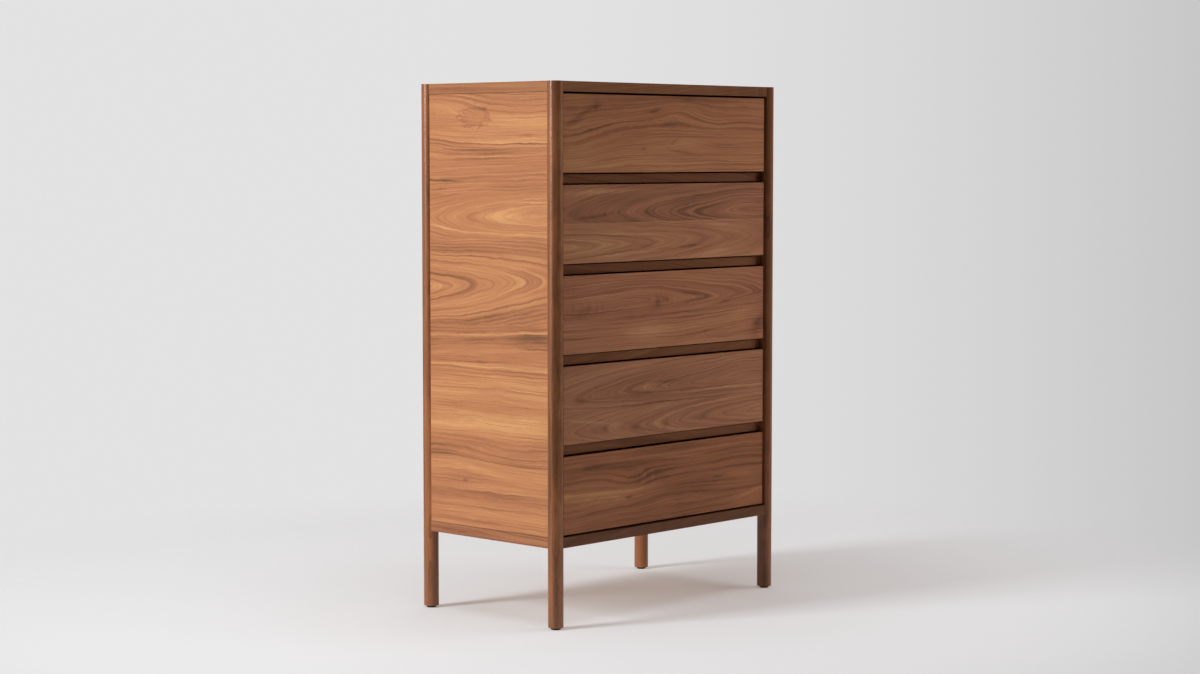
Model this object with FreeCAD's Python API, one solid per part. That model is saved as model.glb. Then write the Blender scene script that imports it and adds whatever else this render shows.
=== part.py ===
import FreeCAD, Part
import math
import os

# Tall walnut chest with five drawers, round posts and recessed finger gaps.
# Millimetres, +Z up, the fronts face -Y, and the origin is on the floor under the middle of the case.
Vector = FreeCAD.Vector

# Overall size
overall_width = 770.0
overall_depth = 440.0
overall_height = 1220.0

# Posts and the glides under them
post_diameter = 35.0
post_arris = 0.8
post_flat_depth = 4.5
glide_diameter = 22.0
glide_height = 4.5
glide_arris = 1.0
glide_stem_diameter = 6.0
glide_stem_length = 20.0

# Top board, bottom board and panels, set back from the outer faces of the posts
board_thickness = 23.0
board_setback = 5.5
leg_clear_height = 182.0
panel_thickness = 18.0
panel_setback = 6.2
panel_housing = 6.0
back_thickness = 8.0
back_setback = 16.0
back_housing = 5.0
glue_gap = 0.1

# Fluted dowels that hold the corners of the boards to the posts
dowel_diameter = 8.0
dowel_length = 34.0
dowel_heart_room = 3.0
dowel_flats = 12

# Drawer fronts and the gaps around them
drawer_count = 5
front_thickness = 20.0
front_side_gap = 5.0
front_setback = 4.5
front_edge_gap = 4.5
finger_gap = 27.0
front_arris = 1.0
pull_bevel_height = 11.0
pull_bevel_depth = 12.0

# Rails that stand behind the finger gaps
rail_thickness = 20.0
rail_depth = 70.0
rail_setback = 20.0
rail_housing = 4.0

# Drawer boxes
box_base_margin = 14.0
box_top_margin = 11.0
box_board = 12.0
box_back_room = 31.0
floor_thickness = 6.0
floor_lift = 10.0
floor_housing = 6.0
floor_play = 0.15
tail_count = 4
tail_width_share = 0.68
tail_slope_share = 1.0 / 6.0

# Three-member slides on packing strips
slide_width = 12.7
slide_height = 45.7
slide_end_margin = 2.5
slide_sheet = 1.2
slide_lip = 3.0
slide_lip_margin = 2.5
slide_middle_margin = 1.7
slide_web_play = 0.5
slide_flange_room = 8.5
slide_bend = 1.0
race_height = 3.2
race_width = 3.6
race_play = 0.3
race_end_room = 6.0
cleat_height = 60.0
cleat_end_gap = 2.0

# Overrun of cutting shapes past the faces that they cut
overrun = 5.0
full_turn = 360.0

# Sizes worked out from the ones above
post_radius = post_diameter / 2
post_x = overall_width / 2 - post_radius
post_y = overall_depth / 2 - post_radius
board_x = overall_width / 2 - board_setback
board_y = overall_depth / 2 - board_setback
case_floor = leg_clear_height + board_thickness
case_ceiling = overall_height - board_thickness
panel_outer_x = overall_width / 2 - panel_setback
panel_inner_x = panel_outer_x - panel_thickness
panel_end_y = post_y - post_radius + panel_housing
back_outer_y = overall_depth / 2 - back_setback
back_inner_y = back_outer_y - back_thickness
post_inner_x = post_x - post_radius
face_y = -board_y
front_y = face_y + front_setback
front_back_y = front_y + front_thickness
flat_x = post_inner_x + post_flat_depth
front_half_width = flat_x - front_side_gap
gap_total = 2 * front_edge_gap + (drawer_count - 1) * finger_gap
front_height = (case_ceiling - case_floor - gap_total) / drawer_count
drawer_pitch = front_height + finger_gap
box_half_width = post_inner_x - slide_width
box_height = front_height - box_base_margin - box_top_margin
box_back_y = back_inner_y - box_back_room
slide_front_y = front_back_y + slide_end_margin
slide_back_y = box_back_y - slide_end_margin
slide_length = slide_back_y - slide_front_y
slide_mid_height = box_base_margin + box_height / 2


def block(x_span, y_span, z_span):
    """Box between two values on each axis, given in either order."""
    lows = [min(span) for span in (x_span, y_span, z_span)]
    sizes = [abs(span[1] - span[0]) for span in (x_span, y_span, z_span)]
    return Part.makeBox(*sizes, Vector(*lows))


def turned(outline, foot):
    """Solid turned about the vertical through foot, from (radius, height) points beginning on the axis."""
    corners = [Vector(radius, 0, height) for radius, height in outline]
    face = Part.Face(Part.makePolygon(corners + corners[:1]))
    solid = face.revolve(Vector(), Vector(0, 0, 1), full_turn)
    solid.translate(foot)
    return solid


def rod(diameter, start, direction, length):
    return Part.makeCylinder(diameter / 2, length, start, direction)


def prism(outline, x_span):
    """Closed outline of (y, z) points carried along X."""
    corners = [Vector(min(x_span), y, z) for y, z in outline]
    face = Part.Face(Part.makePolygon(corners + corners[:1]))
    return face.extrude(Vector(abs(x_span[1] - x_span[0]), 0, 0))


def save(name, solids):
    """One STEP file per sub-part, with every loose copy in it as a solid of its own."""
    loose = [solid for shape in solids for solid in shape.Solids]
    shape = loose[0] if len(loose) == 1 else Part.makeCompound(loose)
    shape.exportStep("parts/" + name + ".step")


def front_base(number):
    """Height of the lower edge of a drawer front, counted from the top drawer down."""
    return case_floor + front_edge_gap + (drawer_count - number) * drawer_pitch


def raised(shape, height):
    copy = shape.copy()
    copy.translate(Vector(0, 0, height))
    return copy


def side_panel_block(side, grow):
    """Room of one side panel, grown by the glue gap where it is to be a groove."""
    return block(
        (side * (panel_inner_x - grow), side * (panel_outer_x + grow)),
        (-panel_end_y - grow, panel_end_y + grow),
        (case_floor, case_ceiling),
    )


def back_panel_block(grow):
    reach = post_inner_x + back_housing + grow
    return block((-reach, reach), (back_inner_y - grow, back_outer_y + grow), (case_floor, case_ceiling))


def rail_blank(number, grow):
    """Rail over the gap under one drawer, before it is cut round the posts."""
    middle = front_base(number) - finger_gap / 2
    reach = panel_inner_x + rail_housing + grow
    return block(
        (-reach, reach),
        (face_y + rail_setback - grow, face_y + rail_setback + rail_depth + grow),
        (middle - rail_thickness / 2 - grow, middle + rail_thickness / 2 + grow),
    )


def post_cope(side, end):
    """Room that a board or rail leaves for one post, with the corner beyond it taken off."""
    drop = Vector(side * post_x, end * post_y, -overrun)
    around = rod(post_diameter + 2 * glue_gap, drop, Vector(0, 0, 1), overall_height + 2 * overrun)
    corner = block(
        (side * post_x, side * (board_x + overrun)),
        (end * post_y, end * (board_y + overrun)),
        (-overrun, overall_height + overrun),
    )
    return around.fuse(corner)


def dowel_starts():
    """Inner end and direction of each level dowel, from a post into the corner of a board."""
    heights = (leg_clear_height + board_thickness / 2, overall_height - board_thickness / 2)
    starts = []
    for height in heights:
        for side in (-1, 1):
            for end in (-1, 1):
                inward = Vector(-side, -end, 0).normalize()
                heart = Vector(side * post_x, end * post_y, height)
                starts.append((heart + inward * dowel_heart_room, inward))
    return starts


def dowel_bores():
    long = dowel_length + 2 * glue_gap
    wide = dowel_diameter + 2 * glue_gap
    return [rod(wide, start - inward * glue_gap, inward, long) for start, inward in dowel_starts()]


def fluted_dowel(start, inward):
    """Dowel with flats along it, which let the glue out of its bore."""
    corners = []
    for index in range(dowel_flats):
        turn = 2 * math.pi * index / dowel_flats
        level = Vector(-inward.y, inward.x, 0) * math.cos(turn)
        corners.append(start + (level + Vector(0, 0, 1) * math.sin(turn)) * (dowel_diameter / 2))
    return Part.Face(Part.makePolygon(corners + corners[:1])).extrude(inward * dowel_length)


def glide_outline(play):
    """Half section of a floor glide: a disc with its stem up in the post."""
    disc = glide_diameter / 2
    stem = glide_stem_diameter / 2 + play
    return [
        (0, 0),
        (disc - glide_arris, 0),
        (disc, glide_arris),
        (disc, glide_height),
        (stem, glide_height),
        (stem, glide_height + glide_stem_length + play),
        (0, glide_height + glide_stem_length + play),
    ]


def post_flat(side, play):
    """Room cut off the inner side of a front post, beside the ends of the drawer fronts."""
    return block(
        (side * (post_inner_x - overrun), side * (flat_x - play)),
        (-post_y - post_radius - overrun, -post_y + post_radius + overrun),
        (case_floor, case_ceiling),
    )


def make_post(side, end, bores):
    """Round post with an arris at its foot, bored for dowels and glide and grooved for the panels."""
    centre = Vector(side * post_x, end * post_y, 0)
    outline = [
        (0, glide_height),
        (post_radius - post_arris, glide_height),
        (post_radius, glide_height + post_arris),
        (post_radius, overall_height),
        (0, overall_height),
    ]
    cuts = [side_panel_block(side, glue_gap), turned(glide_outline(glue_gap), centre)]
    if end > 0:
        cuts.append(back_panel_block(glue_gap))
    else:
        cuts.append(post_flat(side, 0))
    return turned(outline, centre).cut(cuts + bores)


def make_posts(bores):
    for end, end_name in ((-1, "front"), (1, "back")):
        for side, side_name in ((-1, "left"), (1, "right")):
            save(end_name + "_" + side_name + "_post", [make_post(side, end, bores)])


def make_boards(bores):
    copes = [post_cope(side, end) for side in (-1, 1) for end in (-1, 1)]
    for name, low in (("bottom_board", leg_clear_height), ("top_board", case_ceiling)):
        board = block((-board_x, board_x), (-board_y, board_y), (low, low + board_thickness))
        save(name, [board.cut(copes + bores)])


def make_panels():
    housings = [rail_blank(number, glue_gap) for number in range(1, drawer_count)]
    for side, name in ((-1, "left_side_panel"), (1, "right_side_panel")):
        save(name, [side_panel_block(side, 0).cut(housings)])
    save("back_panel", [back_panel_block(0)])


def make_rails():
    copes = [post_cope(side, -1).cut(post_flat(side, glue_gap)) for side in (-1, 1)]
    for number in range(1, drawer_count):
        save("finger_gap_rail_" + str(number), [rail_blank(number, 0).cut(copes)])


def make_glides():
    feet = [Vector(side * post_x, end * post_y, 0) for side in (-1, 1) for end in (-1, 1)]
    save("floor_glides", [turned(glide_outline(0), foot) for foot in feet])


def front_outline(pull_below, pull_above):
    """Section of a drawer front, with a finger bevel on each hidden edge that faces a gap."""
    outline = [(front_y, front_arris), (front_y + front_arris, 0)]
    if pull_below:
        outline += [(front_back_y - pull_bevel_depth, 0), (front_back_y, pull_bevel_height)]
    else:
        outline += [(front_back_y, 0)]
    if pull_above:
        outline += [
            (front_back_y, front_height - pull_bevel_height),
            (front_back_y - pull_bevel_depth, front_height),
        ]
    else:
        outline += [(front_back_y, front_height)]
    return outline + [(front_y + front_arris, front_height), (front_y, front_height - front_arris)]


def drawer_front(number):
    outline = front_outline(number < drawer_count, number > 1)
    return prism(outline, (-front_half_width, front_half_width))


def tails(side, end_y, inward, play):
    """Dovetails at one end of a drawer side, widest at the end and narrowest at the shoulder."""
    pitch = box_height / tail_count
    wide = pitch * tail_width_share / 2 + play
    narrow = wide - box_board * tail_slope_share
    shoulder_y = end_y + inward * box_board
    x_span = (side * (box_half_width - box_board), side * box_half_width)
    shapes = []
    for index in range(tail_count):
        middle = box_base_margin + (index + 0.5) * pitch
        outline = [
            (end_y, middle - wide),
            (shoulder_y, middle - narrow),
            (shoulder_y, middle + narrow),
            (end_y, middle + wide),
        ]
        shapes.append(prism(outline, x_span))
    return shapes


def drawer_floor(play):
    half = box_half_width - box_board + floor_housing - play
    low = box_base_margin + floor_lift
    return block(
        (-half, half),
        (front_back_y + box_board - floor_housing + play, box_back_y - box_board + floor_housing - play),
        (low + play, low + floor_thickness - play),
    )


def box_height_span():
    return (box_base_margin, box_base_margin + box_height)


def drawer_side(side):
    """Side of a drawer box: the ends are cut to tails, and a groove takes the floor."""
    x_span = (side * (box_half_width - box_board), side * box_half_width)
    plank = block(x_span, (front_back_y, box_back_y), box_height_span())
    for end_y, inward in ((front_back_y, 1), (box_back_y, -1)):
        end_block = block(x_span, (end_y, end_y + inward * box_board), box_height_span())
        plank = plank.cut(end_block.cut(tails(side, end_y, inward, 0)))
    return plank.cut(drawer_floor(0))


def drawer_end(end_y, inward):
    """Front or back board of a drawer box, with pins that fill the room between the tails."""
    plank = block((-box_half_width, box_half_width), (end_y, end_y + inward * box_board), box_height_span())
    sockets = tails(-1, end_y, inward, glue_gap) + tails(1, end_y, inward, glue_gap)
    return plank.cut(sockets + [drawer_floor(0)])


def make_drawers():
    """Every drawer is the same box, and only its front differs at the ends of the stack."""
    pieces = {
        "left_side": drawer_side(-1),
        "right_side": drawer_side(1),
        "box_front": drawer_end(front_back_y, 1),
        "box_back": drawer_end(box_back_y, -1),
        "floor": drawer_floor(floor_play),
    }
    for number in range(1, drawer_count + 1):
        base = front_base(number)
        save("drawer_" + str(number) + "_front", [raised(drawer_front(number), base)])
        for name, piece in pieces.items():
            save("drawer_" + str(number) + "_" + name, [raised(piece, base)])


def channel_outline(web_u, lip_u, half_height, lip_way):
    """Section of a folded channel: web at web_u, flanges to lip_u, lips turned out (1) or in (-1)."""
    way = 1 if lip_u > web_u else -1
    sheet = slide_sheet * way
    inside = half_height - slide_sheet
    upper = [(web_u, half_height)]
    if lip_way > 0:
        tip = inside + slide_lip
        upper += [(lip_u - sheet, half_height), (lip_u - sheet, tip), (lip_u, tip), (lip_u, inside)]
    else:
        tip = half_height - slide_lip
        upper += [(lip_u, half_height), (lip_u, tip), (lip_u - sheet, tip), (lip_u - sheet, inside)]
    upper += [(web_u + sheet, inside)]
    lower = [(u, -v) for u, v in reversed(upper)]
    return upper + lower


def channel(side, web_u, lip_u, half_height, lip_way):
    """Folded channel along Y, with u counted from the packing strip towards the drawer."""
    points = channel_outline(web_u, lip_u, half_height, lip_way)
    corners = [Vector(side * (post_inner_x - u), slide_front_y, slide_mid_height + v) for u, v in points]
    face = Part.Face(Part.makePolygon(corners + corners[:1]))
    solid = face.extrude(Vector(0, slide_length, 0))
    web_x = side * (post_inner_x - web_u)
    back_edges = [
        edge
        for edge in solid.Edges
        if math.isclose(edge.Length, slide_length) and math.isclose(edge.CenterOfMass.x, web_x)
    ]
    return solid.makeChamfer(slide_bend, back_edges)


outer_half = slide_height / 2
middle_half = outer_half - slide_sheet - race_height - 2 * race_play
inner_half = middle_half - slide_sheet - race_height - 2 * race_play
outer_lip_u = slide_width - slide_lip_margin
inner_web_u = slide_width
middle_lip_u = slide_width - slide_sheet - slide_web_play
inner_lip_u = slide_width - slide_flange_room


def outer_member(side):
    return channel(side, 0, outer_lip_u, outer_half, -1)


def middle_member(side):
    return channel(side, slide_middle_margin, middle_lip_u, middle_half, -1)


def inner_member(side):
    return channel(side, inner_web_u, inner_lip_u, inner_half, 1)


def ball_cages(side):
    """Strips that carry the balls: outside the middle member at its back half, inside it at its front."""
    half_y = slide_front_y + slide_length / 2
    outer_middle_u = (slide_middle_margin + outer_lip_u) / 2
    inner_middle_u = (inner_lip_u + middle_lip_u) / 2
    outer_low = middle_half + race_play
    inner_low = inner_half + race_play
    strips = []
    for middle_u, low, y_span in (
        (outer_middle_u, outer_low, (half_y + race_end_room, slide_back_y - race_end_room)),
        (inner_middle_u, inner_low, (slide_front_y + race_end_room, half_y - race_end_room)),
    ):
        x_span = [side * (post_inner_x - middle_u + offset) for offset in (-race_width / 2, race_width / 2)]
        for way in (-1, 1):
            z_span = [slide_mid_height + way * height for height in (low, low + race_height)]
            strips.append(block(x_span, y_span, z_span))
    return strips


def cleat(side):
    """Packing strip that brings the slide in from the side panel to the line of the posts."""
    reach = post_y - post_radius - cleat_end_gap
    middle = slide_mid_height
    return block(
        (side * post_inner_x, side * panel_inner_x),
        (-reach, reach),
        (middle - cleat_height / 2, middle + cleat_height / 2),
    )


def make_slides():
    sides = (-1, 1)
    outers = [outer_member(side) for side in sides]
    cleats = [cleat(side) for side in sides]
    inners = [inner_member(side) for side in sides]
    middles = [middle_member(side) for side in sides] + [strip for side in sides for strip in ball_cages(side)]
    numbers = range(1, drawer_count + 1)
    bases = [front_base(number) for number in numbers]
    save("slide_cleats", [raised(shape, base) for base in bases for shape in cleats])
    save("slide_outer_members", [raised(shape, base) for base in bases for shape in outers])
    for number, base in zip(numbers, bases):
        save("slide_inner_members_" + str(number), [raised(shape, base) for shape in inners])
        save("slide_middle_members_" + str(number), [raised(shape, base) for shape in middles])


bores = dowel_bores()
make_posts(bores)
make_boards(bores)
make_panels()
make_rails()
make_glides()
save("case_dowels", [fluted_dowel(start, inward) for start, inward in dowel_starts()])
make_drawers()
make_slides()
print("drawer front", 2 * front_half_width, front_height, "box", 2 * box_half_width, box_height)
print("slide length and travel", slide_length)
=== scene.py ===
"""A walnut chest of five drawers in soft studio light.

Blender works in metres. Wood figures are written in millimetres of their own panel, with u
along the grain, v across it and w into the wood, and are scaled where they are used.
"""
import math
import random
from collections import namedtuple

import bpy
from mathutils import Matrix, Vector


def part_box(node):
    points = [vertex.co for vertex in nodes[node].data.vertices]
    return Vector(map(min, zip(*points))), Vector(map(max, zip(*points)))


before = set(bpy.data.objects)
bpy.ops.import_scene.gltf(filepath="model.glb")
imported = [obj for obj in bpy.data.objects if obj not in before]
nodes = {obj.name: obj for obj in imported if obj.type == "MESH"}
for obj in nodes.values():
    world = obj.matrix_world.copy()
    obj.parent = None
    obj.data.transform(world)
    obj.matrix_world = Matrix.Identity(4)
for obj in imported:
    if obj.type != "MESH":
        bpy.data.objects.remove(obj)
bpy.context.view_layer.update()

mm = 0.001
east, north, up = 0, 1, 2
drawers = range(1, 6)
rails = range(1, 5)

# Camera: seen from the front left, a little below the top board
camera_place = (-4.277, -3.9783, 1.0578)
camera_heading = (0.7318, 0.6815)
camera_drop = 0.074
lens_mm = 73.81
sensor_mm = 36.0

# Floor: paper that fades out between two distances. For the eye, only a share of its light
# comes from the lamps and the rest is an even glow, so that shadows on it stay weak
floor_radius = 4.0
floor_corners = 96
fade_start = 0.7
fade_end = 2.0
floor_albedo = (0.739, 0.827, 0.892)
floor_share = 0.745
floor_glow = 0.25
glow_colour = (1.17, 0.94, 0.82)

# Backdrop: its light falls off towards the camera's right, down to the least share
backdrop_light = (0.773, 0.764, 0.771)
backdrop_fall = 1.95
backdrop_turn = 0.08
backdrop_least = 0.72
ambient_level = 0.04

# What gloss reflects of the room: dim behind the camera and brighter ahead of it
room_dimness = 0.25
room_sheen = 0.55
room_turn = 0.2
room_slope = 1.6

# Lights: a tall softbox at the camera's left, a card at its right and one overhead, which aims
# a hair off its foot so that its heading is settled
light_target = (0.0, 0.0, 0.65)
softbox_azimuth = 162.0
softbox_distance = 5.2
softbox_height = 2.67
softbox_size = (1.35, 3.2)
softbox_power = 303.0
softbox_colour = (1.0, 0.985, 0.965)
card_azimuth = 318.0
card_distance = 2.8
card_height = 1.1
card_size = (1.8, 2.2)
card_power = 26.0
card_colour = (1.0, 0.975, 0.96)
overhead_place = (0.0, 0.0, 3.4)
overhead_target = (0.0, 0.001, 0.0)
overhead_size = (3.0, 3.0)
overhead_power = 56.0


class Field:
    """A number that varies over a surface. Arithmetic on it adds math nodes."""

    def __init__(self, tree, socket):
        self.tree = tree
        self.socket = socket

    def math(self, operation, *others):
        node = self.tree.nodes.new("ShaderNodeMath")
        node.operation = operation
        for place, value in enumerate((self,) + others):
            plug(self.tree, value, node.inputs[place])
        return Field(self.tree, node.outputs[0])

    def __add__(self, other):
        return self.math("ADD", other)

    def __sub__(self, other):
        return self.math("SUBTRACT", other)

    def __rsub__(self, other):
        return (self * -1.0).math("ADD", other)

    def __mul__(self, other):
        return self.math("MULTIPLY", other)

    def __pow__(self, power):
        return self.math("POWER", power)

    def clamped(self, low=0.0, high=1.0):
        return self.math("MAXIMUM", low).math("MINIMUM", high)

    def above(self, level):
        return self.math("GREATER_THAN", level)

    def falling(self):
        """1 where the field is 0, and less the larger it is."""
        return (self * -1.0).math("EXPONENT")

    def smoothed(self):
        """The same from 0 to 1, with gentle ends."""
        return self * self * (3.0 - self * 2.0)


def plug(tree, value, socket):
    """Link a field to a socket, or write a plain number into it."""
    if isinstance(value, Field):
        tree.links.new(value.socket, socket)
    else:
        socket.default_value = value


def new_material(name):
    """An empty node material with a principled shader, and the shader."""
    material = bpy.data.materials.new(name)
    material.use_nodes = True
    tree = material.node_tree
    tree.nodes.clear()
    shader = tree.nodes.new("ShaderNodeBsdfPrincipled")
    output = tree.nodes.new("ShaderNodeOutputMaterial")
    tree.links.new(shader.outputs[0], output.inputs["Surface"])
    return material, tree, shader


def noise(places, scales, detail=0.0, roughness=0.5):
    """Smooth noise from 0 to 1 over three fields, each times its scale."""
    tree = places[0].tree
    joined = tree.nodes.new("ShaderNodeCombineXYZ")
    for index, (place, scale) in enumerate(zip(places, scales)):
        plug(tree, place * scale, joined.inputs[index])
    node = tree.nodes.new("ShaderNodeTexNoise")
    node.inputs["Scale"].default_value = 1.0
    node.inputs["Detail"].default_value = detail
    node.inputs["Roughness"].default_value = roughness
    tree.links.new(joined.outputs[0], node.inputs["Vector"])
    return Field(tree, node.outputs[0])


def object_coordinates(tree):
    """The place on the object in millimetres, and the surface normal, as three fields each."""
    coordinates = tree.nodes.new("ShaderNodeTexCoord")
    place = tree.nodes.new("ShaderNodeSeparateXYZ")
    normal = tree.nodes.new("ShaderNodeSeparateXYZ")
    tree.links.new(coordinates.outputs["Object"], place.inputs[0])
    tree.links.new(coordinates.outputs["Normal"], normal.inputs[0])
    places = [Field(tree, socket) * (1.0 / mm) for socket in place.outputs]
    normals = [Field(tree, socket) for socket in normal.outputs]
    return places, normals


def colour_ramp(field, stops):
    """Colour from a field, through (place, colour) stops."""
    node = field.tree.nodes.new("ShaderNodeValToRGB")
    elements = node.color_ramp.elements
    elements[0].position = stops[0][0]
    elements[-1].position = stops[-1][0]
    for place, _ in stops[1:-1]:
        elements.new(place)
    for element, (_, colour) in zip(elements, stops):
        element.color = (*colour, 1.0)
    field.tree.links.new(field.socket, node.inputs[0])
    return node.outputs[0]


def scaled(stops, levels):
    """Colour stops with each channel multiplied."""
    return tuple((place, tuple(part * level for part, level in zip(colour, levels)))
                 for place, colour in stops)


def bump(tree, height, shader, strength, distance):
    """Relief on a shader from a height field."""
    node = tree.nodes.new("ShaderNodeBump")
    node.inputs["Strength"].default_value = strength
    node.inputs["Distance"].default_value = distance
    tree.links.new(height.socket, node.inputs["Height"])
    tree.links.new(node.outputs[0], shader.inputs["Normal"])


def pick(switch, first, second):
    """The second value where the switch is 1, and else the first."""
    return switch * (second - first) + first


# A board is a plank cut from a round log, from its low edge up to the next board's. Its rings
# lie about the pith, which runs near the panel: pith is its v at the start of the grain and
# climb its slope, depth is how far it lies behind the face there and dive the slope of that.
# A board without these has straight lines. above and below stretch the distance on the two
# sides of the pith. rings are (radius, width, strength) of lines that stand out, dark above
# zero. Seeds tell the boards' fine lines apart.
straight_pith = -200.0
Board = namedtuple("Board", "low seed rings pith climb depth dive shade above below",
                   defaults=(straight_pith, 0.0, 0.0, 0.0, 0.0, 1.0, 1.0))
# A bend pushes the lines up by lift about one place. A mark is a dark or light patch that may
# lean, a ripple a patch of crosswise waves, and a burl a ragged patch with a rim. Sway and
# wobble are how far the lines stray, into the wood in millimetres and across it as a share.
Bend = namedtuple("Bend", "u v reach_u reach_v lift")
Mark = namedtuple("Mark", "u v reach_u reach_v strength lean", defaults=(0.0,))
Figure = namedtuple("Figure", "boards bends marks ripples burls sway wobble contrast",
                    defaults=((), (), (), (), 9.0, 1.0, 1.0))

# Rings: the farthest radius that stands out, how pointed they close, how near the pith comes to
# the face, a line's slow rise on its inner side in its own widths, the steps at which its tone
# is worked out, and the range of tones that a curve can hold
ring_span = 700.0
ring_point = 1.7
least_depth = 5.0
ring_rise = 2.5
ring_steps = (-ring_rise, -1.5, -0.7, 0.0, 1.0)
tone_span = 4.0

# How the lines stray: noise scales along, across and into the wood, detail, and millimetres
wanders = (((0.0045, 0.012, 0.012), 1.0, 14.0),
           ((0.022, 0.06, 0.06), 1.0, 5.0),
           ((0.055, 0.14, 0.1), 0.0, 2.0))
sway_scales = (0.012, 0.01, 0.004)

# Growth rings: how many to a millimetre, their uneven width, and how dark each year's is
years_per_mm = 0.150
year_drift_scales = (0.035, 3.1, 0.0008)
year_drift = 3.4
year_weight_scales = (0.73, 0.0035, 1.7)
year_weight_least = 0.36
year_weight_gain = 3.2
year_weight_most = 1.7
year_edge = 5.0
year_share = 0.38

# Broad bands, streaks and threads that follow the rings: noise scales over the radius, along
# the grain and by seed, detail, roughness and share of the tone
streaks = (((0.022, 0.0016, 5.3), 1.0, 0.5, 0.62),
           ((0.34, 0.005, 1.0), 2.0, 0.7, 0.62),
           ((0.58, 0.008, 1.3), 1.0, 0.5, 0.44))

# Lines that stand out fade here and there, and marks are ragged
fading_scales = (0.007, 0.02, 2.3)
fading_gain = 1.1
fading_least = 0.45
ragged_scales = (0.03, 0.09, 1.0)
ragged_gain = 1.6

# Ripples bow with their height. Burls have a filled middle and a darker rim
ripple_scales = (0.062, 0.016, 1.0)
ripple_bow = 0.016
ripple_level = 0.46
ripple_dip = -0.05
burl_scales = (0.06, 0.09, 0.05)
burl_ragged = 1.15
burl_edge = 0.42
burl_sharpness = 8.0
burl_share = 0.60
rim_edge = 0.46
rim_sharpness = 9.0

base_tone = 0.34
middle_tone = 0.45


def hill(u, v, spot):
    """1 at the middle of a spot, falling smoothly to 0 over its two reaches."""
    far_u = (u - spot.u) * (1.0 / spot.reach_u)
    far_v = (v - spot.v) * (1.0 / spot.reach_v)
    return (far_u * far_u + far_v * far_v).falling()


def ring_profile(radius, rings):
    """The tone of the lines that stand out, dark on their outer edge, by ring radius."""
    def tone(place):
        total = 0.0
        for centre, width, strength in rings:
            offset = (place - centre) / width
            if -ring_rise < offset <= 0.0:
                total += strength * (1.0 + offset / ring_rise) ** 2
            elif 0.0 < offset < 1.0:
                total += strength * (1.0 - offset)
        return total

    places = sorted({round(centre + step * width, 2)
                     for centre, width, _ in rings for step in ring_steps})
    node = radius.tree.nodes.new("ShaderNodeFloatCurve")
    curve = node.mapping.curves[0]
    curve.points[0].location = (0.0, 0.5)
    curve.points[1].location = (1.0, 0.5)
    for place in places:
        if 0.0 < place < ring_span:
            point = curve.points.new(place / ring_span, 0.5 + tone(place) / tone_span)
            point.handle_type = "VECTOR"
    node.mapping.update()
    plug(radius.tree, radius * (1.0 / ring_span), node.inputs["Value"])
    return (Field(radius.tree, node.outputs[0]) - 0.5) * tone_span


def ring_radius(u, bent, w, board, sway):
    """Distance from the pith, with a pointed end where the rings close."""
    across = bent - (u * board.climb + board.pith)
    if (board.above, board.below) != (1.0, 1.0):
        over = across.math("MAXIMUM", 0.0) * board.above
        across = over - across.math("MINIMUM", 0.0) * board.below
    behind = (u * board.dive + board.depth + sway).math("MAXIMUM", least_depth) + w
    return (across.math("ABSOLUTE") ** ring_point + behind ** ring_point) ** (1.0 / ring_point)


def joined_boards(u, v, bent, w, figure):
    """Ring radius, seed and the tone of the lines that stand out, from each place's own board."""
    sway = (noise((u, w, v), sway_scales, detail=1.0) - 0.5) * figure.sway
    radius = None
    for board in figure.boards:
        here = ring_radius(u, bent, w, board, sway)
        lines = ring_profile(here, board.rings) + board.shade
        if radius is None:
            radius, line = here, lines
            seed = u * 0.0 + board.seed
        else:
            inside = v.above(board.low)
            radius = pick(inside, radius, here)
            seed = pick(inside, seed, board.seed)
            line = pick(inside, line, lines)
    return radius, seed, line


def year_tone(radius, u, seed):
    """Growth rings, each dark towards its outer edge and some darker than others."""
    years = radius * years_per_mm + noise((radius, seed, u), year_drift_scales) * year_drift
    year = years.math("FLOOR")
    weight = noise((year, u, seed), year_weight_scales)
    weight = ((weight - year_weight_least) * year_weight_gain).clamped(0.0, year_weight_most)
    return (years - year) ** year_edge * weight * year_share


def ripple_tone(u, v, seed, ripple):
    """Waves across the grain."""
    rise = v - ripple.v
    waves = noise((u + rise * rise * ripple_bow, v, seed), ripple_scales, detail=1.0)
    waves = (waves - ripple_level).math("MAXIMUM", ripple_dip) * ripple.strength
    return hill(u, v, ripple) * waves


def burl_tone(u, v, w, burl):
    """A ragged patch with a rim."""
    edge = hill(u, v, burl) + (noise((u, v, w), burl_scales, detail=2.0) - 0.5) * burl_ragged
    filled = ((edge - burl_edge) * burl_sharpness).clamped()
    rim = (edge - rim_edge) * rim_sharpness
    return (filled * burl_share + (rim * rim).falling()) * burl.strength


def wood_tone(u, v, w, figure):
    """How dark the wood is, from its rings, bends, marks, ripples and burls."""
    bent = v
    for scales, detail, reach in wanders:
        bent = bent + (noise((u, v, w), scales, detail) - 0.5) * (reach * figure.wobble)
    for bend in figure.bends:
        bent = bent - hill(u, v, bend) * bend.lift
    radius, seed, line = joined_boards(u, v, bent, w, figure)
    fading = noise((u, v, seed), fading_scales) * fading_gain + fading_least
    tone = year_tone(radius, u, seed) + line * fading + base_tone
    for scales, detail, roughness, share in streaks:
        tone = tone + (noise((radius, u, seed), scales, detail, roughness) - 0.5) * share
    ragged = (noise((u, bent, seed), ragged_scales, detail=2.0) - 0.5) * ragged_gain + 1.0
    for mark in figure.marks:
        level = bent - (u - mark.u) * mark.lean
        tone = tone + hill(u, level, mark) * ragged * mark.strength
    for ripple in figure.ripples:
        tone = tone + ripple_tone(u, v, seed, ripple)
    for burl in figure.burls:
        tone = tone + burl_tone(u, v, w, burl)
    return (tone - middle_tone) * figure.contrast + middle_tone


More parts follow.
